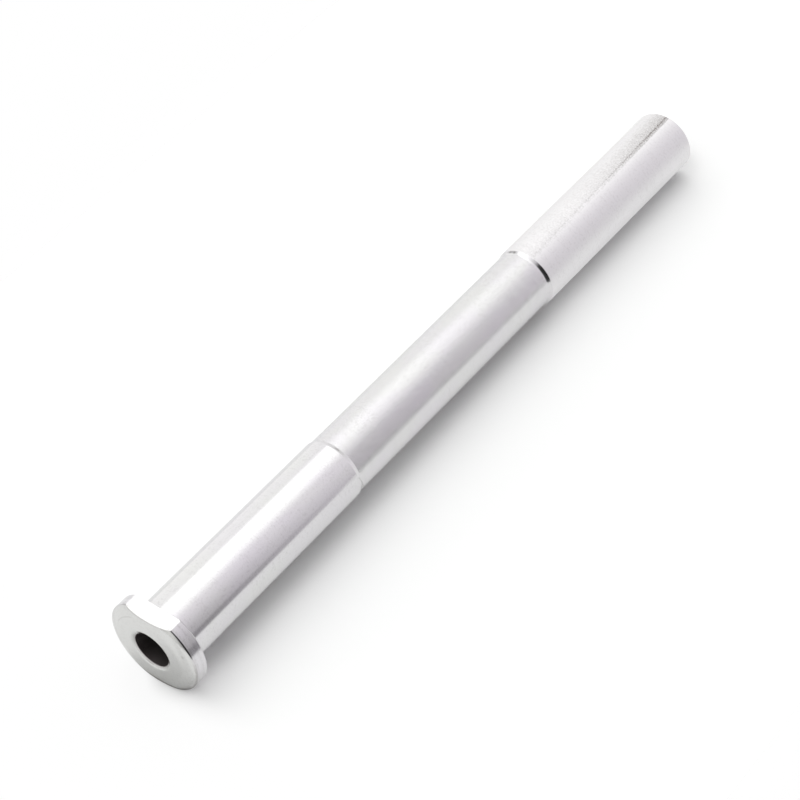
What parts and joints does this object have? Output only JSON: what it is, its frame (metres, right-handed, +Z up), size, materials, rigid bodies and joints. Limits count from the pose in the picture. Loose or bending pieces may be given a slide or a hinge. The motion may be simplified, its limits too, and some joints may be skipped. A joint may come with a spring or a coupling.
{
  "type": "rear axle",
  "caption": "Hollow turned steel rear wheel axle with a flat-sided round head and bearing seats either side of a slightly relieved waist.",
  "frame": {"origin": "on the axle's axis, where it meets the head's seat face", "axes": "+Y along the axis from the head to the plain end, +Z up and square to the two spanner flats, +X to the side"},
  "size_m": [0.022, 0.1848, 0.0186],
  "materials": {
    "bright_steel": "bright plated, fine turned and ground"
  },
  "bodies": {
    "root": {"axle": "bright_steel"}
  },
  "joints": []
}
